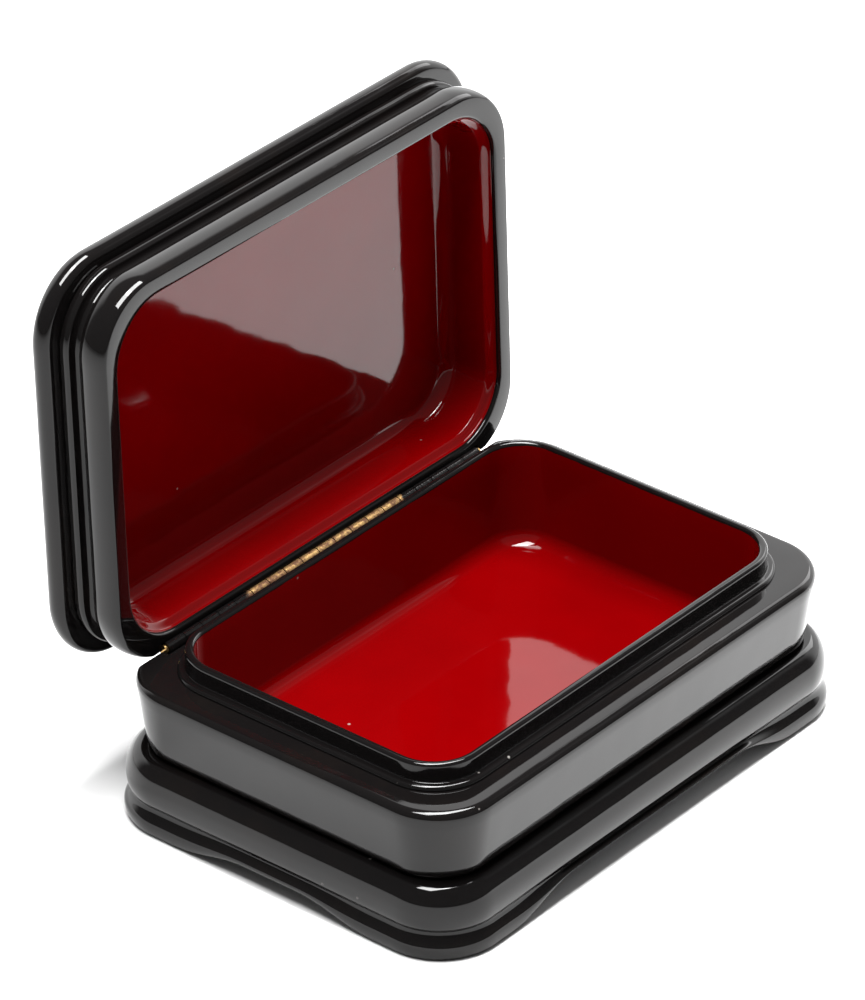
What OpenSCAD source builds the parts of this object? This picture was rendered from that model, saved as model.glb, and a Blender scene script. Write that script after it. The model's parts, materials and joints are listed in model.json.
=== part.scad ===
// Lacquered trinket box with a deep hinged lid, standing open on four bracket feet.
// +X runs along the length, +Y points to the hinge side, Z = 0 is the surface it stands on.
// The lid is drawn shut and then swung open about the hinge line.

/* [Tray] */
// Length of the mouth inside the lip
opening_l = 132.6; // [110:0.1:170]
// Width of the mouth inside the lip
opening_w = 84.6; // [76:0.1:110]
// Corner radius of the mouth
opening_r = 11.3; // [8:0.1:14]
// Depth from the top of the lip to the floor
tray_depth = 29.9; // [24:0.1:38]
// Thickness of the floor board
floor_t = 6; // [3:0.5:7]
// Radius of the fillet between the walls and the floor
tray_fillet = 4.3; // [2:0.1:6]
// Thickness of the lip
lip_t = 2.3; // [1.8:0.1:3.5]
// Height of the lip above its ledge
lip_h = 5.2; // [3:0.1:6]
// Width of the ledge round the foot of the lip
ledge_t = 2; // [1:0.1:2.5]
// Height of the ledge above the shoulder
ledge_h = 1.2; // [0.8:0.1:3]

/* [Outer wall] */
// Thickness of the outer wall at its widest, outside the collar
wall_t = 7.6; // [6:0.1:9]
// Visible height of the outer wall
wall_h = 19.5; // [12:0.1:24]
// How far the wall draws in at its foot on each side
wall_taper = 2.4; // [1:0.1:4]
// Radius of the rounded upper edge of the wall
wall_edge_r = 2.2; // [1:0.1:3]
// Corner radius of the wall at its widest
wall_corner_r = 17; // [12:0.1:20]

/* [Base] */
// Height of the narrow groove under the wall
groove_h = 1.1; // [0.6:0.1:2]
// Depth of the groove behind the foot of the wall
groove_d = 1.4; // [0.5:0.1:2]
// Height of the bead moulding
bead_h = 11.8; // [10:0.1:14]
// How far the bead stands out past the widest part of the wall
bead_out = 2.2; // [0.5:0.1:3]
// Corner radius of the bead at its widest
bead_corner_r = 17.2; // [13:0.1:20]
// How far the bead draws in to its lower edge
bead_undercut = 1.4; // [0.5:0.1:2.5]
// Height of the foot frame
foot_h = 7.5; // [7:0.1:12]
// How far the feet stand out past the widest part of the wall
foot_out = 2.8; // [1:0.1:4]
// How far the foot frame's top stands out past the lower edge of the bead
foot_step = 0.3; // [0:0.1:1]
// Thickness of the foot frame at its top
foot_t = 6.5; // [4:0.1:8]
// Length of each foot from its outer corner to the start of the arch
foot_l = 25; // [24:0.5:36]
// Length of the curve that rises from a foot to the arch
ogee_l = 24; // [12:0.5:28]
// Rise of the arch between the feet at front and back
arch_rise = 6.4; // [2:0.1:6.6]
// Rise of the arch between the feet at the two ends
arch_rise_ends = 3.8; // [1:0.1:6.6]

/* [Lid] */
// Gap between the shoulder and the rim of the shut lid
parting_gap = 0.3; // [0.2:0.05:0.6]
// Side clearance between the lip and the lid
lip_clear = 0.6; // [0.4:0.05:1]
// Depth from the rim to the ceiling of the lid
lid_depth = 16.5; // [15:0.1:20]
// Radius of the fillet between the lid's walls and its ceiling
lid_fillet = 4.5; // [2:0.1:6]
// Height of the rim bead
rim_h = 8.7; // [7:0.1:10]
// How far the rim bead stands out past the widest part of the wall
rim_out = -1.3; // [-2:0.1:1]
// How far the rim bead draws in above and below its middle
rim_draw_in = 1.6; // [0.5:0.1:2.5]
// Corner radius of the rim bead at its widest
rim_corner_r = 18.6; // [17:0.1:21]
// Height of the hollow above the rim bead
cove_h = 3.2; // [2:0.1:4]
// Depth of the hollow behind the face of the rim bead
cove_d = 3.6; // [2:0.1:4.2]
// Height of the narrow band under the crown
band_h = 3; // [1:0.1:4]
// How far the band stands back from the face of the rim bead
band_back = 0.6; // [0:0.1:1.5]
// Height of the crown moulding
crown_h = 6.8; // [5:0.1:9]
// How far the crown's flat underside stands out past the band
crown_step = 1; // [0.5:0.1:1.5]
// How far the crown overhangs the widest part of the wall at the two ends
crown_out_ends = 2.3; // [0.5:0.1:5]
// How far the crown overhangs the widest part of the wall at front and back
crown_out_sides = 1.5; // [0.5:0.1:5]
// Corner radius of the crown at its widest
crown_corner_r = 20; // [16:0.1:24]
// Radius of the crown's rounded upper edge
crown_edge_r = 4; // [2:0.1:4.6]
// Rise of the domed top above the crown
dome_rise = 1; // [0.5:0.1:3]

/* [Hinge] */
// Angle to which the lid opens
open_angle = 91.8; // [60:0.1:100]
// Number of knuckles, the outermost ones on the box
knuckles = 19; // [5:2:25]
// Length of the row of knuckles
hinge_l = 121; // [90:1:123]
// Distance from the hinge line to the back of the wall
hinge_inset = 3.6; // [3.6:0.1:4.8]
// Radius of the knuckles
barrel_r = 1.8; // [1.2:0.05:1.8]
// Radius of the pin
pin_r = 0.6; // [0.4:0.05:0.8]
// Running clearance of the lid's knuckles on the pin
pin_fit = 0.05; // [0.02:0.01:0.1]
// Gap between neighbouring knuckles
knuckle_gap = 0.3; // [0.2:0.05:0.5]
// Thickness of each knuckle's tail
tail_t = 0.8; // [0.5:0.05:1]
// Length of each tail below its knuckle
tail_l = 5; // [3:0.1:7]
// Radius of the pin's heads
pin_head_r = 1.3; // [0.9:0.05:1.6]
// Thickness of the pin's heads
pin_head_t = 0.7; // [0.4:0.05:1]

/* [Hidden] */
$fn = 96;
ARC_STEPS = 8;
eps = 0.01;

// Heights above the ground
bead_top = foot_h + bead_h;
wall_foot = bead_top + groove_h;
shoulder = wall_foot + wall_h;
ledge_top = shoulder + ledge_h;
lip_top = ledge_top + lip_h;
floor_top = lip_top - tray_depth;
bead_crest_z = foot_h + bead_h * 0.38;
foot_crest_z = foot_h * 0.4;

// Half lengths; each half width is less by the same amount
half_diff = (opening_l - opening_w) / 2;
mouth_x = opening_l / 2;
lip_x = mouth_x + lip_t;
collar_x = lip_x + ledge_t;
wall_x = collar_x + wall_t;
wall_foot_x = wall_x - wall_taper;
bead_x = wall_x + bead_out;
foot_x = wall_x + foot_out;
lid_mouth_x = lip_x + lip_clear;
lid_shell_x = collar_x + lip_clear;
rim_x = wall_x + rim_out;
crown_x = wall_x + crown_out_ends;
crown_y = wall_x - half_diff + crown_out_sides;

// Corner radii of the collar, inside and out
collar_r = opening_r + lip_t + ledge_t;
lid_shell_r = collar_r + lip_clear;

// Levels in the shut lid
rim_z = shoulder + parting_gap;
rim_top = rim_z + rim_h;
band_z = rim_top + cove_h;
crown_z = band_z + band_h;
crown_top = crown_z + crown_h;
ceiling_z = rim_z + lid_depth;
rebate_top = rim_z + ledge_h + lip_clear;

// Seat of the panel on the crown, all round the lid's shell
panel_rest = 4;
panel_x = lid_shell_x + panel_rest;
panel_r = lid_shell_r + panel_rest;

// Hinge
axis_y = wall_x - half_diff - hinge_inset;
axis_z = shoulder + parting_gap / 2;
bevel_angle = open_angle / 2;
bevel_gap = 0.15;
channel_gap = 0.3;
pitch = hinge_l / knuckles;

// Longer than anything on the box, for cuts that run right through
far = 400;

BODY_KNUCKLES = [for (i = [0:2:knuckles - 1]) str("box_knuckle_", i / 2 + 1)];
LID_KNUCKLES = [for (i = [1:2:knuckles - 1]) str("lid_knuckle_", (i + 1) / 2)];

// Points along an elliptical arc about [x, z]
function arc_points(x, z, rx, rz, from, to) =
    [for (i = [0:ARC_STEPS]) let (a = from + (to - from) * i / ARC_STEPS)
        [x + rx * cos(a), z + rz * sin(a)]];

// Sweeps a profile round a rounded rectangle. The profile's x is the half length of the
// ring at that point, and corner is the ring's corner radius where that half length is x.
module ring(x, y, corner) {
    core_x = x - corner;
    core_y = y - corner;
    for (q = [0:3]) {
        along = q % 2 == 0 ? core_y : core_x;
        out = q % 2 == 0 ? core_x : core_y;
        rotate([0, 0, 90 * q]) translate([out, along, 0]) {
            rotate([90, 0, 0]) linear_extrude(2 * along) translate([-core_x, 0]) children();
            rotate_extrude(angle = 90) translate([-core_x, 0]) children();
        }
    }
}

// Upright rounded-rectangle block between two heights
module block(x, y, corner, bottom, top) {
    translate([0, 0, bottom]) linear_extrude(top - bottom) {
        square([2 * (x - corner), 2 * y], center = true);
        square([2 * x, 2 * (y - corner)], center = true);
        for (sx = [-1, 1], sy = [-1, 1])
            translate([sx * (x - corner), sy * (y - corner)]) circle(corner);
    }
}

// The block that the collar and the floor board fill
module collar_block(bottom, top) {
    block(collar_x, collar_x - half_diff, collar_r, bottom, top);
}

// The same for the lid's shell
module lid_shell_block(bottom, top) {
    block(lid_shell_x, lid_shell_x - half_diff, lid_shell_r, bottom, top);
}

// Swings the shut lid open
module opened() {
    translate([0, axis_y, axis_z]) rotate([-open_angle, 0, 0])
        translate([0, -axis_y, -axis_z]) children();
}

// What the hinge takes out of an edge: side is 1 for the lid and -1 for the box
module hinge_cut(side) {
    translate([0, axis_y, axis_z]) {
        rotate([side * bevel_angle, 0, 0]) mirror([0, 0, side > 0 ? 1 : 0])
            translate([-far / 2, 0, -bevel_gap]) cube([far, far, far / 8]);
        rotate([0, 90, 0])
            cylinder(h = hinge_l + 2 * (pin_head_t + channel_gap), r = barrel_r + channel_gap,
                center = true);
        for (i = [side > 0 ? 1 : 0:2:knuckles - 1]) tail(i, side);
    }
}

// Tail of knuckle i, from the hinge line into the edge it is let into
module tail(i, side) {
    length = pitch - knuckle_gap;
    translate([(i + 0.5) * pitch - hinge_l / 2, 0, side * (barrel_r + tail_l) / 2])
        cube([length, tail_t, barrel_r + tail_l], center = true);
}

module knuckle(i, side, bore_r) {
    length = pitch - knuckle_gap;
    translate([0, axis_y, axis_z]) difference() {
        union() {
            tail(i, side);
            translate([(i + 0.5) * pitch - hinge_l / 2, 0, 0]) rotate([0, 90, 0])
                cylinder(h = length, r = barrel_r, center = true);
        }
        rotate([0, 90, 0]) cylinder(h = hinge_l, r = bore_r, center = true);
    }
}

module box_wall() {
    edge_z = shoulder - wall_edge_r;
    color("black") difference() {
        ring(wall_x, wall_x - half_diff, wall_corner_r) polygon(concat(
            [[mouth_x, bead_top], [wall_foot_x - groove_d, bead_top],
                [wall_foot_x - groove_d, wall_foot], [wall_foot_x, wall_foot]],
            arc_points(wall_x - wall_edge_r, edge_z, wall_edge_r, wall_edge_r, 0, 90),
            [[mouth_x, shoulder]]));
        collar_block(0, far);
        hinge_cut(-1);
    }
}

// The inner tube: its top is the lip, its step the ledge, its foot the tray's fillet
module box_collar() {
    edge_r = lip_t * 0.45;
    color("darkred") ring(mouth_x, mouth_x - half_diff, opening_r) polygon(concat(
        arc_points(mouth_x - tray_fillet, floor_top + tray_fillet, tray_fillet, tray_fillet,
            -90, 0),
        arc_points(mouth_x + edge_r, lip_top - edge_r, edge_r, edge_r, 180, 90),
        arc_points(lip_x - edge_r, lip_top - edge_r, edge_r, edge_r, 90, 0),
        [[lip_x, ledge_top]],
        arc_points(collar_x - ledge_t / 2, ledge_top - ledge_t / 2, ledge_t / 2, ledge_t / 2,
            90, 0),
        [[collar_x, floor_top]]));
}

module floor_board() {
    color("red") collar_block(floor_top - floor_t, floor_top);
}

module base_bead() {
    belly_x = bead_x - bead_undercut;
    color("black") difference() {
        ring(bead_x, bead_x - half_diff, bead_corner_r) polygon(concat(
            [[mouth_x, foot_h]],
            arc_points(belly_x, bead_crest_z, bead_undercut, bead_crest_z - foot_h, -90, 0),
            arc_points(wall_foot_x, bead_crest_z, bead_x - wall_foot_x, bead_top - bead_crest_z,
                90 / ARC_STEPS, 90),
            [[mouth_x, bead_top]]));
        collar_block(0, far);
    }
}

// Ogee outline of the opening between two feet, for a side of the given half length
module arch(half_l, rise) {
    start = half_l - foot_l;
    rise_l = min(ogee_l, start);
    steps = 2 * ARC_STEPS;
    right = [for (i = [0:steps]) let (t = i / steps)
        [start - rise_l * t, rise * (1 - cos(180 * t)) / 2]];
    // The two sides share their highest point when no level stretch is left between them
    first_left = start - rise_l > eps ? steps : steps - 1;
    left = [for (i = [first_left:-1:0]) [-right[i][0], right[i][1]]];
    polygon(concat([[start, -rise]], right, left, [[-start, -rise]]));
}

module foot_frame() {
    top_x = bead_x - bead_undercut + foot_step;
    toe_r = foot_crest_z / 3;
    flare = foot_x - top_x;
    inner_x = top_x - foot_t;
    color("black") difference() {
        ring(foot_x, foot_x - half_diff, bead_corner_r + foot_out - bead_out) polygon(concat(
            [[inner_x, 0]],
            arc_points(foot_x - toe_r, foot_crest_z, toe_r, foot_crest_z, -90, 0),
            [for (i = [1:ARC_STEPS]) let (t = i / ARC_STEPS)
                [foot_x - flare * (1 - cos(180 * t)) / 2,
                    foot_crest_z + (foot_h - foot_crest_z) * t]],
            [[inner_x, foot_h]]));
        rotate([90, 0, 0]) linear_extrude(far, center = true) arch(foot_x, arch_rise);
        rotate([90, 0, 90]) linear_extrude(far, center = true)
            arch(foot_x - half_diff, arch_rise_ends);
    }
}

module lid_rim() {
    face_z = rim_z + rim_h / 2;
    color("black") opened() difference() {
        ring(rim_x, rim_x - half_diff, rim_corner_r) polygon(concat(
            [[mouth_x, rim_z]],
            arc_points(rim_x - rim_draw_in, face_z, rim_draw_in, rim_h / 2, -90, 90),
            [[mouth_x, rim_top]]));
        lid_shell_block(0, far);
        hinge_cut(1);
    }
}

module lid_band() {
    cove_x = rim_x - cove_d;
    nose_x = rim_x - band_back - band_h / 4;
    color("black") opened() difference() {
        ring(rim_x, rim_x - half_diff, rim_corner_r) polygon(concat(
            [[mouth_x, rim_top], [cove_x, rim_top]],
            arc_points(nose_x, band_z, nose_x - cove_x, cove_h / 2, 180, 90),
            arc_points(nose_x, band_z + band_h / 2, band_h / 4, band_h / 2, -90, 90),
            [[mouth_x, crown_z]]));
        lid_shell_block(0, far);
    }
}

module lid_crown() {
    edge_z = crown_top - crown_edge_r;
    under_x = rim_x - band_back + crown_step;
    under_angle = -75;
    color("black") opened() difference() {
        ring(crown_x, crown_y, crown_corner_r) polygon(concat(
            [[mouth_x, crown_z], [under_x, crown_z]],
            arc_points(under_x, edge_z, crown_x - under_x, edge_z - crown_z, under_angle, 0),
            arc_points(crown_x - crown_edge_r, edge_z, crown_edge_r, crown_edge_r,
                90 / ARC_STEPS, 90),
            [[mouth_x, crown_top]]));
        lid_shell_block(0, far);
        block(panel_x, panel_x - half_diff, panel_r, ceiling_z, far);
    }
}

// The inner tube of the lid, with the fillet below its ceiling
module lid_lining() {
    lid_mouth_r = opening_r + lip_t + lip_clear;
    color("darkred") opened() ring(lid_mouth_x, lid_mouth_x - half_diff, lid_mouth_r)
        polygon(concat(
            [[lid_shell_x, rebate_top], [lid_shell_x, ceiling_z]],
            arc_points(lid_mouth_x - lid_fillet, ceiling_z - lid_fillet, lid_fillet, lid_fillet,
                90, 0),
            [[lid_mouth_x, rebate_top]]));
}

module lid_panel() {
    reach = norm([panel_x, panel_x - half_diff]);
    color("black") opened() intersection() {
        block(panel_x, panel_x - half_diff, panel_r, ceiling_z, far);
        rotate_extrude() polygon(concat([[0, rim_z], [reach, rim_z]],
            [for (i = [ARC_STEPS:-1:0]) let (t = i / ARC_STEPS)
                [reach * t, crown_top + dome_rise * (1 - t * t)]]));
    }
}

module hinge_pin() {
    color("goldenrod") translate([0, axis_y, axis_z]) rotate([0, 90, 0]) {
        cylinder(h = hinge_l, r = pin_r, center = true);
        for (end = [0, 1]) mirror([0, 0, end]) translate([0, 0, hinge_l / 2])
            cylinder(h = pin_head_t, r = pin_head_r);
    }
}

box_wall();
box_collar();
floor_board();
base_bead();
foot_frame();
lid_rim();
lid_band();
lid_crown();
lid_lining();
lid_panel();
hinge_pin();
for (k = [0:len(BODY_KNUCKLES) - 1]) color("darkgoldenrod") knuckle(2 * k, -1, pin_r);
for (k = [0:len(LID_KNUCKLES) - 1]) color("darkgoldenrod") opened() knuckle(2 * k + 1, 1, pin_r + pin_fit);
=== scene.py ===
import json
import math

import bmesh
import bpy
from mathutils import Matrix, Vector


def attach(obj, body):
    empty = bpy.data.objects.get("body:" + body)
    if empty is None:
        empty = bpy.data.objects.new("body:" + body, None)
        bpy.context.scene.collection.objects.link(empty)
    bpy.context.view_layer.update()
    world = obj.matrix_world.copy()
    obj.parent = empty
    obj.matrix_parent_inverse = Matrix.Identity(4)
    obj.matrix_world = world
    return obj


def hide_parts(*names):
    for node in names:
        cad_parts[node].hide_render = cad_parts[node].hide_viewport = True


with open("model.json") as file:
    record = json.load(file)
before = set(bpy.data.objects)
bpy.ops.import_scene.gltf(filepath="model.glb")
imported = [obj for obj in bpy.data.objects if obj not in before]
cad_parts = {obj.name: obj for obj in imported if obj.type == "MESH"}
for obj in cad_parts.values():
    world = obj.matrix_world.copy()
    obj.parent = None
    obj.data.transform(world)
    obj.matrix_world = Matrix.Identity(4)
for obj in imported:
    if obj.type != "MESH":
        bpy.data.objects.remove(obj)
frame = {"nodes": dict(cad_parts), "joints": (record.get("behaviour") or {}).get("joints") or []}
for start_up in ("Cube", "Light", "Camera"):
    if start_up in bpy.data.objects:
        bpy.data.objects.remove(bpy.data.objects[start_up])
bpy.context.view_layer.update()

MM = 0.001
hinge = frame["joints"][0]
HINGE = Vector(hinge["pos_m"])
OPEN_ANGLE = math.radians(max(hinge["range_deg"]))
CORNER_STEPS = 20
SIDE_STEPS = 24
SMOOTH_ANGLE = math.radians(32)
HAIR = 0.03
LEVEL = 0.1


# ------------------------------------------------------------------ sizes from the frame, in mm

def reach(node, shut=False):
    """Lowest and highest corners of a node in mm; shut swings a lid node down first."""
    swing = Matrix.Identity(4)
    if shut:
        swing = (Matrix.Translation(HINGE) @ Matrix.Rotation(OPEN_ANGLE, 4, "X")
                 @ Matrix.Translation(-HINGE))
    points = [swing @ v.co / MM for v in frame["nodes"][node].data.vertices]
    return [Vector([pick(p[i] for p in points) for i in range(3)]) for pick in (min, max)]


wall_low, wall_high = reach("box_wall")
collar_low, collar_high = reach("box_collar")
board_low, board_high = reach("floor_board")
bead_low, bead_high = reach("base_bead")
foot_low, foot_high = reach("foot_frame")
rim_low, rim_high = reach("lid_rim", shut=True)
band_low, band_high = reach("lid_band", shut=True)
crown_low, crown_high = reach("lid_crown", shut=True)
lining_low, lining_high = reach("lid_lining", shut=True)
panel_low, panel_high = reach("lid_panel", shut=True)
pin_low, pin_high = reach("hinge_pin")

# Half length less half width, the same for every ring but the crown
HALF_DIFF = wall_high.x - wall_high.y

# Box
LIP_T = 2.3
LEDGE_T = 2.0
LIP_H = 5.2
MOUTH_X = collar_high.x - LEDGE_T - LIP_T
MOUTH_R = 11.3
TRAY_FILLET = 4.3
COLLAR_R = MOUTH_R + LIP_T + LEDGE_T
SKIN = 0.6
PAINT = 0.1
WALL_CORNER = 17
WALL_FOOT = bead_high.z + 1.1
WALL_TAPER = 2.4
WALL_EDGE = 2.2
WALL_TOE = 0.35
GROOVE_D = 1.4
BEAD_CORNER = 17.2
BEAD_UNDERCUT = 1.4
FOOT_T = 6.5
FOOT_L = 25
OGEE_L = 24
ARCH_RISE = 6.4
ARCH_RISE_ENDS = 3.8

# Hinge
BARREL_R = reach("box_knuckle_1")[1].z - HINGE.z / MM
BEVEL_GAP = 0.15
CHANNEL_GAP = 0.3
BEVEL_DEPTH = 40

# Lid
LID_CLEAR = 0.6
LID_FILLET = 4.5
RIM_CORNER = 18.6
RIM_DRAW_IN = 1.6
RIM_INNER_EDGE = 1.0
RED_START = 1.2
COVE_H = 3.2
COVE_D = 3.6
BAND_BACK = 0.6
CROWN_CORNER = 20
CROWN_EDGE = 4


# ------------------------------------------------------------------ modelling by hand

def deselect():
    if bpy.context.mode != "OBJECT":
        bpy.ops.object.mode_set(mode="OBJECT")
    bpy.ops.object.select_all(action="DESELECT")


def spin(steps, degrees, centre, axis):
    """Turns the selection by the right-hand rule; the operator turns the other way."""
    bpy.ops.mesh.spin(steps=steps, angle=-math.radians(degrees), axis=axis,
                      center=tuple(c * MM for c in centre))


class Pen:
    """Draws a moulding's outline in the XZ plane with strokes, starting from one vertex."""

    def __init__(self, name, x, z):
        deselect()
        bpy.ops.mesh.primitive_plane_add(size=MM, location=(x * MM, 0, z * MM))
        self.piece = bpy.context.active_object
        self.piece.name = self.piece.data.name = name
        bpy.ops.object.transform_apply(location=True)
        bpy.ops.object.mode_set(mode="EDIT")
        bpy.ops.mesh.select_mode(type="VERT")
        bpy.ops.mesh.select_all(action="SELECT")
        bpy.ops.mesh.merge(type="CENTER")
        self.x, self.z = x, z

    def line(self, x, z, steps=1):
        step = ((x - self.x) * MM / steps, 0, (z - self.z) * MM / steps)
        for _ in range(steps):
            bpy.ops.mesh.extrude_region_move(TRANSFORM_OT_translate={"value": step})
        self.x, self.z = x, z
        return self

    def arc(self, x, z, turn, steps=8):
        """Turns about (x, z), positive from +X towards +Z."""
        spin(steps, turn, (x, 0, z), (0, -1, 0))
        a = math.radians(turn)
        dx, dz = self.x - x, self.z - z
        self.x = x + dx * math.cos(a) - dz * math.sin(a)
        self.z = z + dx * math.sin(a) + dz * math.cos(a)
        return self

    def curve(self, x, z, rise_first, steps=10):
        """A quarter of an ellipse to (x, z) that leaves upright, or level if not rise_first."""
        x0, z0 = self.x, self.z
        for i in range(1, steps + 1):
            a = math.pi / 2 * i / steps
            s, c = math.sin(a), 1 - math.cos(a)
            fx, fz = (c, s) if rise_first else (s, c)
            self.line(x0 + (x - x0) * fx, z0 + (z - z0) * fz)
        return self

    def ogee(self, x, z, steps=10):
        """An S-shaped stroke that leaves and arrives upright."""
        x0, z0 = self.x, self.z
        for i in range(1, steps + 1):
            t = i / steps
            self.line(x0 + (x - x0) * (1 - math.cos(math.pi * t)) / 2, z0 + (z - z0) * t)
        return self

    def around(self, core_x, core_y, side_steps=SIDE_STEPS):
        """Sweeps the outline round a rectangle, with a quarter turn at each corner."""
        bpy.ops.mesh.select_all(action="SELECT")

        def run(length, direction, steps):
            step = tuple(length * MM / steps * d for d in direction)
            for _ in range(steps):
                bpy.ops.mesh.extrude_region_move(TRANSFORM_OT_translate={"value": step})

        run(core_y, (0, 1, 0), side_steps // 2)
        spin(CORNER_STEPS, 90, (core_x, core_y, 0), (0, 0, 1))
        run(2 * core_x, (-1, 0, 0), side_steps)
        spin(CORNER_STEPS, 90, (-core_x, core_y, 0), (0, 0, 1))
        run(2 * core_y, (0, -1, 0), side_steps)
        spin(CORNER_STEPS, 90, (-core_x, -core_y, 0), (0, 0, 1))
        run(2 * core_x, (1, 0, 0), side_steps)
        spin(CORNER_STEPS, 90, (core_x, -core_y, 0), (0, 0, 1))
        run(core_y, (0, 1, 0), side_steps // 2)
        bpy.ops.mesh.select_all(action="SELECT")
        bpy.ops.mesh.remove_doubles(threshold=0.004 * MM)
        deselect()
        return self.piece


def way_through(x, corner, bottom, top, rounded=0):
    """The upright inner face of a ring, with its lower edge rounded. It ends a hair short of
    the outer face, so that bridging can tell which way the two loops run."""
    pen = Pen("inner", x + rounded, bottom + HAIR)
    if rounded:
        pen.curve(x, bottom + rounded, rise_first=False, steps=6)
    pen.line(x, top - HAIR, steps=2)
    return pen.around(x - corner, x - HALF_DIFF - corner)


def select_open_loop(piece, z):
    """In edit mode, selects the open edges that lie at height z."""
    bpy.ops.mesh.select_mode(type="EDGE")
    bpy.ops.mesh.select_all(action="DESELECT")
    mesh = bmesh.from_edit_mesh(piece.data)
    for edge in mesh.edges:
        if edge.is_boundary and all(abs(v.co.z / MM - z) < LEVEL for v in edge.verts):
            edge.select = True
    mesh.select_flush_mode()
    bmesh.update_edit_mesh(piece.data)


def edit(piece):
    deselect()
    bpy.context.view_layer.objects.active = piece
    piece.select_set(True)
    bpy.ops.object.mode_set(mode="EDIT")


def joined(outer, inner):
    """Closes a ring between an outer face and the way through it, top and bottom."""
    deselect()
    inner.select_set(True)
    outer.select_set(True)
    bpy.context.view_layer.objects.active = outer
    bpy.ops.object.join()
    edit(outer)
    mesh = bmesh.from_edit_mesh(outer.data)
    levels = [v.co.z / MM for edge in mesh.edges if edge.is_boundary for v in edge.verts]
    bottom, top = min(levels), max(levels)
    for z in (bottom, top) if top - bottom > LEVEL else (bottom,):
        select_open_loop(outer, z)
        bpy.ops.mesh.bridge_edge_loops()
    return outer


def capped(piece, z, rings=0, rise=0):
    """Closes the open loop at height z; rings of faces climb by rise towards the middle."""
    edit(piece)
    select_open_loop(piece, z)
    size = 1
    for i in range(1, rings + 1):
        smaller = 1 - i / (rings + 0.5)
        climb = rise * (size ** 2 - smaller ** 2) * MM
        shrink = (smaller / size, smaller / size, 1)
        bpy.ops.mesh.extrude_edges_move(TRANSFORM_OT_translate={"value": (0, 0, climb)})
        bpy.ops.transform.resize(value=shrink, center_override=(0, 0, 0))
        size = smaller
    bpy.ops.mesh.edge_face_add()
    deselect()
    return piece


def boolean(piece, cutter):
    deselect()
    bpy.context.view_layer.objects.active = piece
    cut = piece.modifiers.new("cut", "BOOLEAN")
    cut.object = cutter
    cut.operation = "DIFFERENCE"
    cut.solver = "EXACT"
    bpy.ops.object.modifier_apply(modifier=cut.name)
    bpy.data.objects.remove(cutter)


def hinge_cut(piece, side):
    """Room for the hinge in an edge: a bevel and a round channel; side is -1 on the box."""
    slope = Matrix.Rotation(side * OPEN_ANGLE / 2, 3, "X")
    middle = slope @ Vector((0, BEVEL_DEPTH / 2, side * (BEVEL_GAP - BEVEL_DEPTH / 2)))
    deselect()
    bpy.ops.mesh.primitive_cube_add(size=1, location=HINGE + middle * MM,
                                    rotation=(side * OPEN_ANGLE / 2, 0, 0),
                                    scale=(4 * wall_high.x * MM, BEVEL_DEPTH * MM, BEVEL_DEPTH * MM))
    boolean(piece, bpy.context.active_object)
    deselect()
    bpy.ops.mesh.primitive_cylinder_add(vertices=64, radius=(BARREL_R + CHANNEL_GAP) * MM,
                                        depth=2 * (pin_high.x + CHANNEL_GAP) * MM,
                                        location=HINGE, rotation=(0, math.pi / 2, 0))
    boolean(piece, bpy.context.active_object)


def polish(piece, body, slot, *nodes, ripple=0.05, grain=30, sharp=SMOOTH_ANGLE, cut=0):
    """Finishes a piece: a faint hand-made ripple, smooth faces, and its place on a body."""
    edit(piece)
    bpy.ops.mesh.select_all(action="SELECT")
    bpy.ops.mesh.normals_make_consistent(inside=False)
    deselect()
    piece.select_set(True)
    bpy.context.view_layer.objects.active = piece
    if ripple:
        cloud = bpy.data.textures.new("ripple_" + piece.name, "CLOUDS")
        cloud.noise_scale = grain * MM
        cloud.noise_depth = 1
        wave = piece.modifiers.new("ripple", "DISPLACE")
        wave.texture = cloud
        wave.texture_coords = "LOCAL"
        wave.strength = ripple * 2 * MM
        bpy.ops.object.modifier_apply(modifier=wave.name)
    if cut:
        hinge_cut(piece, cut)
    piece.select_set(True)
    bpy.context.view_layer.objects.active = piece
    bpy.ops.object.shade_smooth_by_angle(angle=sharp)
    if body == "lid":
        swing = (Matrix.Translation(HINGE) @ Matrix.Rotation(-OPEN_ANGLE, 4, "X")
                 @ Matrix.Translation(-HINGE))
        piece.matrix_world = swing
        bpy.ops.object.transform_apply(location=True, rotation=True)
    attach(piece, body)
    if nodes:
        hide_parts(*nodes)
    return piece


# ------------------------------------------------------------------ the box

def box_wall():
    foot_x = wall_high.x - WALL_TAPER
    edge_z = wall_high.z - WALL_EDGE
    pen = Pen("outer_wall", foot_x - GROOVE_D, bead_high.z - 0.2)
    pen.line(foot_x - GROOVE_D, WALL_FOOT)
    pen.line(foot_x - WALL_TOE, WALL_FOOT)
    pen.curve(foot_x, WALL_FOOT + WALL_TOE, rise_first=False, steps=4)
    pen.line(wall_high.x, edge_z, steps=6)
    pen.arc(wall_high.x - WALL_EDGE, edge_z, 90, steps=10)
    outer = pen.around(wall_high.x - WALL_CORNER, wall_high.y - WALL_CORNER)
    inner = way_through(collar_high.x, COLLAR_R, bead_high.z - 0.2, wall_high.z)
    return polish(joined(outer, inner), "box", "black_lacquer", "box_wall", cut=-1)


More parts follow.
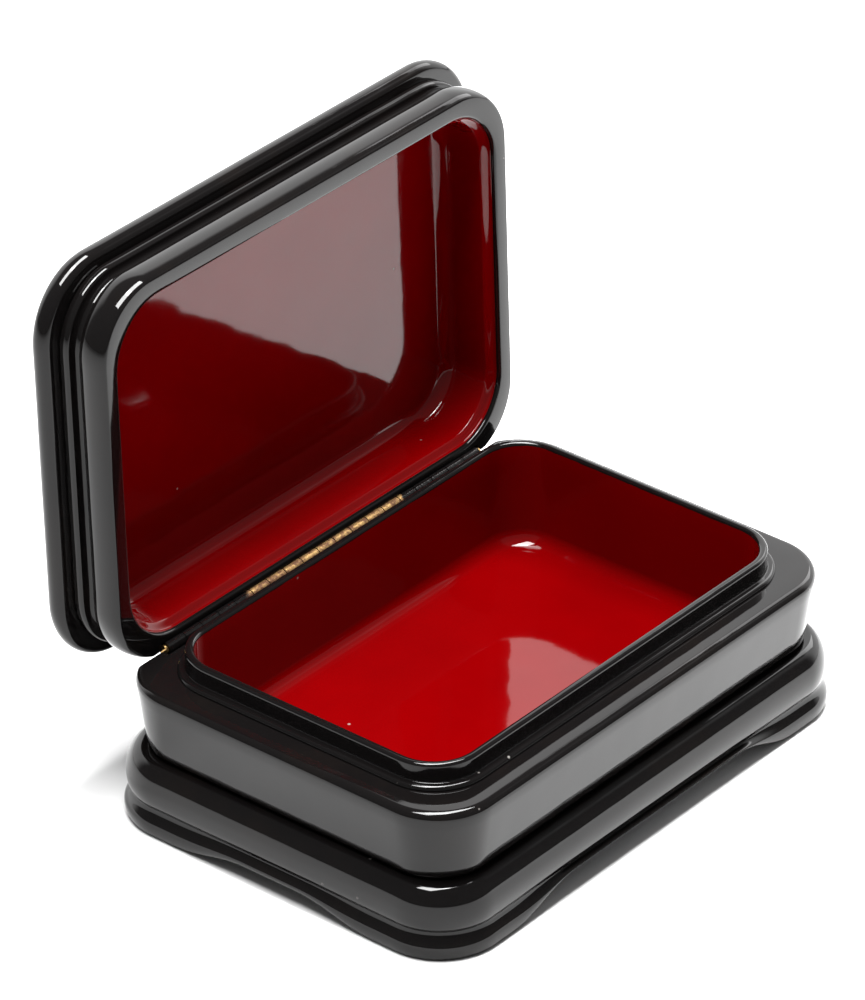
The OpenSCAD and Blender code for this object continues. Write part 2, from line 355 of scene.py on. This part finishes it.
def tray_lining():
    """Floor, fillet, inner walls, lip and ledge in one skin."""
    ledge_z = collar_high.z - LIP_H
    lip_x = collar_high.x - LEDGE_T
    edge = LIP_T * 0.42
    round_off = LEDGE_T * 0.55
    pen = Pen("tray_lining", collar_high.x, collar_low.z - SKIN)
    pen.line(collar_high.x, ledge_z - round_off, steps=4)
    pen.arc(collar_high.x - round_off, ledge_z - round_off, 90, steps=6)
    pen.line(lip_x + 0.25, ledge_z)
    pen.arc(lip_x + 0.25, ledge_z + 0.25, -90, steps=3)
    pen.line(lip_x, collar_high.z - edge)
    pen.arc(lip_x - edge, collar_high.z - edge, 90, steps=8)
    pen.line(MOUTH_X + edge, collar_high.z)
    pen.arc(MOUTH_X + edge, collar_high.z - edge, 90, steps=8)
    pen.line(MOUTH_X, collar_low.z + TRAY_FILLET, steps=5)
    pen.arc(MOUTH_X - TRAY_FILLET, collar_low.z + TRAY_FILLET, -90, steps=12)
    piece = pen.around(MOUTH_X - MOUTH_R, MOUTH_X - HALF_DIFF - MOUTH_R)
    capped(piece, collar_low.z, rings=8)
    capped(piece, collar_low.z - SKIN)
    return polish(piece, "box", "red_lacquer", "box_collar", ripple=0.03)


def floor_board():
    pen = Pen("bottom_board", board_high.x, board_low.z)
    pen.line(board_high.x, board_high.z - SKIN - 0.02, steps=2)
    piece = pen.around(board_high.x - COLLAR_R, board_high.y - COLLAR_R)
    capped(piece, board_low.z, rings=3)
    capped(piece, board_high.z - SKIN - 0.02)
    return polish(piece, "box", "black_lacquer", "floor_board", ripple=0.03)


def base_bead():
    toe_x = wall_high.x - WALL_TAPER
    crest = bead_low.z + (bead_high.z - bead_low.z) * 0.38
    pen = Pen("bead_moulding", bead_high.x - BEAD_UNDERCUT, bead_low.z)
    pen.curve(bead_high.x, crest, rise_first=False, steps=10)
    pen.curve(toe_x, bead_high.z, rise_first=True, steps=14)
    outer = pen.around(bead_high.x - BEAD_CORNER, bead_high.y - BEAD_CORNER)
    inner = way_through(collar_high.x, COLLAR_R, bead_low.z, bead_high.z)
    return polish(joined(outer, inner), "box", "black_lacquer", "base_bead")


def foot_frame():
    """The frame is swept with a level foot, and its underside is then drawn up into arches."""
    crest = foot_high.z * 0.4
    top_x = bead_high.x - BEAD_UNDERCUT + 0.3
    side = Pen("bracket_feet", top_x - FOOT_T, 0)
    side.line(foot_high.x - crest / 3, 0)
    side.curve(foot_high.x, crest, rise_first=False, steps=8)
    side.ogee(top_x, foot_high.z, steps=12)
    side.line(top_x - FOOT_T, foot_high.z)
    side.line(top_x - FOOT_T, 0, steps=3)
    corner = BEAD_CORNER + foot_high.x - bead_high.x
    piece = side.around(foot_high.x - corner, foot_high.y - corner, side_steps=64)

    def rise(along, half, height):
        t = (half - FOOT_L - abs(along)) / OGEE_L
        return height * (1 - math.cos(math.pi * min(max(t, 0), 1))) / 2

    core_x, core_y = foot_high.x - corner, foot_high.y - corner
    for v in piece.data.vertices:
        x, y, z = v.co / MM
        if abs(x) > core_x and abs(y) < core_y:
            lift = rise(y, foot_high.y, ARCH_RISE_ENDS)
        elif abs(y) > core_y and abs(x) < core_x:
            lift = rise(x, foot_high.x, ARCH_RISE)
        else:
            lift = 0
        v.co.z += lift * (1 - z / foot_high.z) * MM
    return polish(piece, "box", "black_lacquer", "foot_frame", ripple=0.04)


# ------------------------------------------------------------------ the lid, made shut

LID_MOUTH_X = lining_high.x - LEDGE_T
LID_HOLE_R = COLLAR_R + LID_CLEAR


def lid_rim():
    middle = (rim_low.z + rim_high.z) / 2
    edge_x = rim_high.x - RIM_DRAW_IN
    pen = Pen("lid_rim_bead", edge_x, rim_low.z)
    pen.curve(rim_high.x, middle, rise_first=False, steps=10)
    pen.curve(edge_x, rim_high.z, rise_first=True, steps=10)
    outer = pen.around(rim_high.x - RIM_CORNER, rim_high.y - RIM_CORNER)
    inner = way_through(lining_high.x, LID_HOLE_R, rim_low.z, rim_high.z, RIM_INNER_EDGE)
    return polish(joined(outer, inner), "lid", "black_lacquer", "lid_rim", cut=1)


def lid_band():
    cove_x = rim_high.x - COVE_D
    band_x = rim_high.x - BAND_BACK
    cove_top = rim_high.z + COVE_H
    nose = (band_high.z - cove_top) / 2
    pen = Pen("lid_cove_band", cove_x, rim_high.z - 0.3)
    pen.line(cove_x, rim_high.z + 1.2)
    pen.curve(band_x - nose / 2, cove_top, rise_first=True, steps=8)
    pen.curve(band_x, cove_top + nose, rise_first=False, steps=5)
    pen.curve(band_x - nose / 2, band_high.z, rise_first=True, steps=5)
    outer = pen.around(rim_high.x - RIM_CORNER, rim_high.y - RIM_CORNER)
    inner = way_through(lining_high.x, LID_HOLE_R, rim_high.z - 0.3, band_high.z)
    return polish(joined(outer, inner), "lid", "black_lacquer", "lid_band")


def lid_top():
    """Crown moulding and domed top in one skin."""
    edge_z = crown_high.z - CROWN_EDGE
    under_x = rim_high.x - BAND_BACK + 1
    pen = Pen("lid_crown_top", under_x, crown_low.z)
    pen.line(under_x + 1.2, crown_low.z + 0.15)
    pen.curve(crown_high.x, edge_z, rise_first=False, steps=10)
    pen.curve(crown_high.x - CROWN_EDGE * 1.15, crown_high.z, rise_first=True, steps=12)
    piece = pen.around(crown_high.x - CROWN_CORNER, crown_high.y - CROWN_CORNER)
    capped(piece, crown_high.z, rings=10, rise=panel_high.z - crown_high.z)
    hole_top = lining_high.z + SKIN
    hole = way_through(lining_high.x, LID_HOLE_R, crown_low.z, hole_top + HAIR)
    capped(hole, hole_top)
    return polish(joined(piece, hole), "lid", "black_lacquer", "lid_crown", "lid_panel")


def lid_lining():
    """Walls and ceiling in one skin; the walls step in softly above the box's ledge."""
    top = lining_high.z
    foot = rim_low.z + RED_START
    pen = Pen("lid_lining_skin", lining_high.x, top + SKIN)
    pen.line(lining_high.x, foot, steps=5)
    pen.line(lining_high.x - PAINT, foot + PAINT)
    pen.line(lining_high.x - PAINT, lining_low.z - 0.3, steps=2)
    pen.ogee(LID_MOUTH_X, lining_low.z + 1.6, steps=8)
    pen.line(LID_MOUTH_X, top - LID_FILLET, steps=3)
    pen.arc(LID_MOUTH_X - LID_FILLET, top - LID_FILLET, 90, steps=12)
    r = MOUTH_R + LIP_T + LID_CLEAR
    piece = pen.around(LID_MOUTH_X - r, LID_MOUTH_X - HALF_DIFF - r)
    capped(piece, top, rings=8)
    capped(piece, top + SKIN)
    return polish(piece, "lid", "red_lacquer", "lid_lining", ripple=0.03)


# ------------------------------------------------------------------ finishes

class Amount:
    """A number that varies over a surface, as a socket that takes Python's operators."""

    def __init__(self, finish, socket):
        self.finish = finish
        self.socket = socket

    def math(self, operation, *others):
        return self.finish.node("ShaderNodeMath", {"operation": operation},
                                dict(enumerate((self,) + others)))

    def __add__(self, other):
        return self.math("ADD", other)

    def __mul__(self, other):
        return self.math("MULTIPLY", other)

    def __sub__(self, other):
        return self.math("SUBTRACT", other)

    def __rsub__(self, other):
        return self.math("MULTIPLY", -1).math("ADD", other)

    __radd__ = __add__
    __rmul__ = __mul__

    def above(self, edge, soft):
        """0 below edge and 1 above it, over a soft step."""
        return self.finish.node("ShaderNodeMapRange", {"interpolation_type": "SMOOTHSTEP"},
                                {"Value": self, "From Min": edge - soft, "From Max": edge + soft})


class Finish:
    """A procedural material around one Principled shader."""

    def __init__(self, name, **fixed):
        self.material = bpy.data.materials.new(name)
        self.material.use_nodes = True
        self.tree = self.material.node_tree
        self.shader = self.tree.nodes["Principled BSDF"]
        for socket, value in fixed.items():
            self.shader.inputs[socket.replace("_", " ")].default_value = value
        coords = self.tree.nodes.new("ShaderNodeTexCoord")
        self.place = coords.outputs["Object"]

    def node(self, kind, settings=None, values=None, output=0):
        made = self.tree.nodes.new(kind)
        for key, value in (settings or {}).items():
            setattr(made, key, value)
        for key, value in (values or {}).items():
            if isinstance(value, Amount):
                self.tree.links.new(value.socket, made.inputs[key])
            elif isinstance(value, bpy.types.NodeSocket):
                self.tree.links.new(value, made.inputs[key])
            else:
                made.inputs[key].default_value = value
        return Amount(self, made.outputs[output])

    def axis(self, letter):
        return self.node("ShaderNodeSeparateXYZ", values={0: self.place}, output="XYZ".index(letter))

    def noise(self, size_mm, detail=3, rough=0.5, stretch=(1, 1, 1)):
        place = self.node("ShaderNodeMapping", values={"Vector": self.place, "Scale": stretch})
        return self.node("ShaderNodeTexNoise", None,
                         {"Vector": place, "Scale": 1 / (size_mm * MM), "Detail": detail,
                          "Roughness": rough})

    def specks(self, pitch_mm, share):
        """Small round specks on a share of the cells of a given pitch."""
        cells = {"Vector": self.place, "Scale": 1 / (pitch_mm * MM)}
        near = self.node("ShaderNodeTexVoronoi", None, cells)
        pick = self.node("ShaderNodeTexVoronoi", None, cells, output=1)
        chance = self.node("ShaderNodeSeparateXYZ", values={0: pick})
        return (1 - near.above(0.07, 0.03)) * chance.above(1 - share, 0.01)

    def mix(self, factor, a, b):
        return self.node("ShaderNodeMix", {"data_type": "RGBA"},
                         {0: factor, 6: a if isinstance(a, (Amount, bpy.types.NodeSocket)) else (*a, 1),
                          7: b if isinstance(b, (Amount, bpy.types.NodeSocket)) else (*b, 1)}, output=2)

    def feed(self, **links):
        for socket, value in links.items():
            self.tree.links.new(value.socket, self.shader.inputs[socket.replace("_", " ")])

    def bump(self, height, depth_mm):
        normal = self.node("ShaderNodeBump", None, {"Height": height, "Distance": depth_mm * MM})
        self.feed(Normal=normal)


BLACK = (0.0035, 0.003, 0.003)
WARM_BLACK = (0.005, 0.0038, 0.0034)
RED = (0.13, 0.0, 0.0004)
DEEP_RED = (0.11, 0.0, 0.0004)
LACQUER_IOR = 1.38
DUST = (0.30, 0.28, 0.26)


def lacquer_surface(finish, colour):
    """Faint brush waves, fine rubbing marks, and a few dust specks under the gloss."""
    rub = finish.noise(9, detail=5, rough=0.65)
    fine = finish.noise(0.5, detail=2)
    dust = finish.specks(5.0, 0.05)
    finish.feed(Base_Color=finish.mix(dust * 0.6, colour, DUST),
                Roughness=rub * 0.05 + fine * 0.02 + dust * 0.3 + 0.015)
    waves = finish.noise(14, detail=1) + finish.noise(1.6, detail=2) * 0.03 + dust * 0.15
    finish.bump(waves, 0.10)


def black_lacquer():
    finish = Finish("black_lacquer", IOR=LACQUER_IOR)
    wear = finish.noise(22, detail=4, rough=0.6).above(0.6, 0.15)
    lacquer_surface(finish, finish.mix(wear, BLACK, WARM_BLACK))
    return finish.material


def red_lacquer():
    finish = Finish("red_lacquer", IOR=LACQUER_IOR)
    cloudy = finish.noise(30, detail=3).above(0.5, 0.3)
    lacquer_surface(finish, finish.mix(cloudy, RED, DEEP_RED))
    return finish.material


def tray_lacquer():
    """Red inside, black over the lip and down its outside, with a hand-painted edge."""
    finish = Finish("tray_lacquer", IOR=LACQUER_IOR)
    core = (MOUTH_X - MOUTH_R) * MM
    core_y = (MOUTH_X - HALF_DIFF - MOUTH_R) * MM
    away_x = (finish.axis("X").math("ABSOLUTE") - core).math("MAXIMUM", 0)
    away_y = (finish.axis("Y").math("ABSOLUTE") - core_y).math("MAXIMUM", 0)
    out = (away_x * away_x + away_y * away_y).math("SQRT")
    outside = out.above((MOUTH_R + LIP_T * 0.5) * MM, 0.0001)
    wobble = finish.noise(6, detail=3, rough=0.6) - 0.5
    paint_edge = (collar_high.z - 0.9) * MM
    over = (finish.axis("Z") + wobble * 0.0006).above(paint_edge, 0.00008)
    black = outside.math("MAXIMUM", over)
    cloudy = finish.noise(30, detail=3).above(0.5, 0.3)
    red = finish.mix(cloudy, RED, DEEP_RED)
    lacquer_surface(finish, finish.mix(black, red, BLACK))
    return finish.material


BRASS = (0.62, 0.40, 0.16)
TARNISH = (0.10, 0.045, 0.02)


def brass(name, tarnish_edge, lacquered):
    """Brass that has gone brown; towards the ends of the hinge the black lacquer runs over it."""
    finish = Finish(name)
    dull = finish.noise(2.2, detail=4, rough=0.65).above(tarnish_edge, 0.15)
    tone = finish.mix(dull, BRASS, TARNISH)
    metal = 1 - dull * 0.35
    rough = dull * 0.25 + finish.noise(0.4, detail=2) * 0.15 + 0.2
    if lacquered:
        along = finish.axis("X").math("ABSOLUTE") + (finish.noise(4, detail=3) - 0.5) * 0.008
        covered = along.above(0.0305, 0.0006)
        tone = finish.mix(covered, tone, BLACK)
        metal = metal * (1 - covered)
        rough = rough * (1 - covered) + covered * 0.06
    finish.feed(Base_Color=tone, Metallic=metal, Roughness=rough)
    finish.bump(finish.noise(0.6, detail=3) + dull * 0.3, 0.03)
    return finish.material


def floor_paper_with_painted_shade():
    """Pale paper with painted shade: greyer towards the left, standing in for the dimmer light that
    falls on the floor there.
    """
    finish = Finish("studio_floor", Roughness=0.9)
    # painted shade: the floor colour darkens towards the left in place of less light falling there
    shade = finish.axis("X").above(0.02, 0.16) + finish.noise(60, detail=2) * 0.03
    finish.feed(Base_Color=finish.mix(shade, (0.58, 0.58, 0.58), (0.94, 0.94, 0.94)))
    return finish.material


def coat(piece, material):
    piece.data.materials.clear()
    piece.data.materials.append(material)


black = black_lacquer()
red = red_lacquer()
for make in (box_wall, floor_board, base_bead, foot_frame, lid_rim, lid_band, lid_top):
    coat(make(), black)
coat(lid_lining(), red)
coat(tray_lining(), tray_lacquer())
knuckle_brass = brass("aged_brass", 0.42, lacquered=True)
pin_brass = brass("bright_brass", 0.62, lacquered=False)
for name, node in frame["nodes"].items():
    if "knuckle" in name:
        coat(node, knuckle_brass)
    elif name == "hinge_pin":
        coat(node, pin_brass)


# ------------------------------------------------------------------ studio

ROOM_LIGHT = 0.2
BAND_LIGHT = 2.2


def world_glow():
    """A low band of light at the back on the right, and a dim room everywhere else."""
    world = bpy.data.worlds.new("studio")
    world.use_nodes = True
    bpy.context.scene.world = world
    tree = world.node_tree
    coords = tree.nodes.new("ShaderNodeTexCoord")

    def step(axis, start, end):
        """0 up to start and 1 past end, along an axis; a start above end turns it round."""
        along = tree.nodes.new("ShaderNodeVectorMath")
        along.operation = "DOT_PRODUCT"
        along.inputs[1].default_value = axis
        tree.links.new(coords.outputs["Generated"], along.inputs[0])
        ramp = tree.nodes.new("ShaderNodeMapRange")
        ramp.interpolation_type = "SMOOTHSTEP"
        ramp.inputs["From Min"].default_value = min(start, end)
        ramp.inputs["From Max"].default_value = max(start, end)
        ramp.inputs["To Min"].default_value = float(start > end)
        ramp.inputs["To Max"].default_value = float(start < end)
        tree.links.new(along.outputs["Value"], ramp.inputs["Value"])
        return ramp.outputs[0]

    both = tree.nodes.new("ShaderNodeMath")
    both.operation = "MULTIPLY"
    tree.links.new(step((0.77, 0.64, 0), 0.15, 0.5), both.inputs[0])
    tree.links.new(step((0, 0, 1), 0.72, 0.62), both.inputs[1])
    level = tree.nodes.new("ShaderNodeMapRange")
    level.inputs["To Min"].default_value = ROOM_LIGHT
    level.inputs["To Max"].default_value = BAND_LIGHT
    tree.links.new(both.outputs[0], level.inputs["Value"])
    tree.links.new(level.outputs[0], tree.nodes["Background"].inputs["Strength"])
    tree.nodes["Background"].inputs["Color"].default_value = (1, 1, 1, 1)


def studio():
    deselect()
    bpy.ops.mesh.primitive_plane_add(size=8, location=(0, 0, -0.0001))
    ground = bpy.context.active_object
    ground.name = ground.data.name = "studio_floor"
    bpy.ops.object.transform_apply(location=True)
    coat(ground, floor_paper_with_painted_shade())

    def softbox(name, direction, distance, width, depth, power):
        lamp = bpy.data.lights.new(name, "AREA")
        lamp.shape = "RECTANGLE"
        lamp.size, lamp.size_y, lamp.energy = width, depth, power
        box = bpy.data.objects.new(name, lamp)
        bpy.context.scene.collection.objects.link(box)
        box.location = Vector(direction).normalized() * distance
        box.rotation_euler = box.location.to_track_quat("Z", "Y").to_euler()

    # The overhead light is a pair with a dark bar between them
    softbox("overhead_softbox_left", (-0.27, 0.02, 1.5), 1.5, 0.50, 0.75, 38)
    softbox("overhead_softbox_right", (0.27, 0.02, 1.5), 1.5, 0.50, 0.75, 38)
    softbox("right_softbox", (1.0, 0.1, 0.75), 2.0, 0.8, 0.8, 9)
    world_glow()
    bpy.context.scene.view_settings.view_transform = "Standard"


def camera():
    azimuth = math.radians(-50.3)
    elevation = math.radians(31.45)
    roll = math.radians(-0.25)
    aim = Vector((2.15, 16.8, 66.6)) * MM
    back = Vector((math.sin(azimuth) * math.cos(elevation),
                   -math.cos(azimuth) * math.cos(elevation), math.sin(elevation)))
    lens = bpy.data.cameras.new("camera")
    lens.sensor_width = 36
    lens.lens = 255.6
    lens.clip_end = 20
    view = bpy.data.objects.new("camera", lens)
    bpy.context.scene.collection.objects.link(view)
    view.location = aim + back * 1.758
    turn = back.to_track_quat("Z", "Y") @ Matrix.Rotation(roll, 4, "Z").to_quaternion()
    view.rotation_euler = turn.to_euler()
    bpy.context.scene.camera = view


studio()
camera()
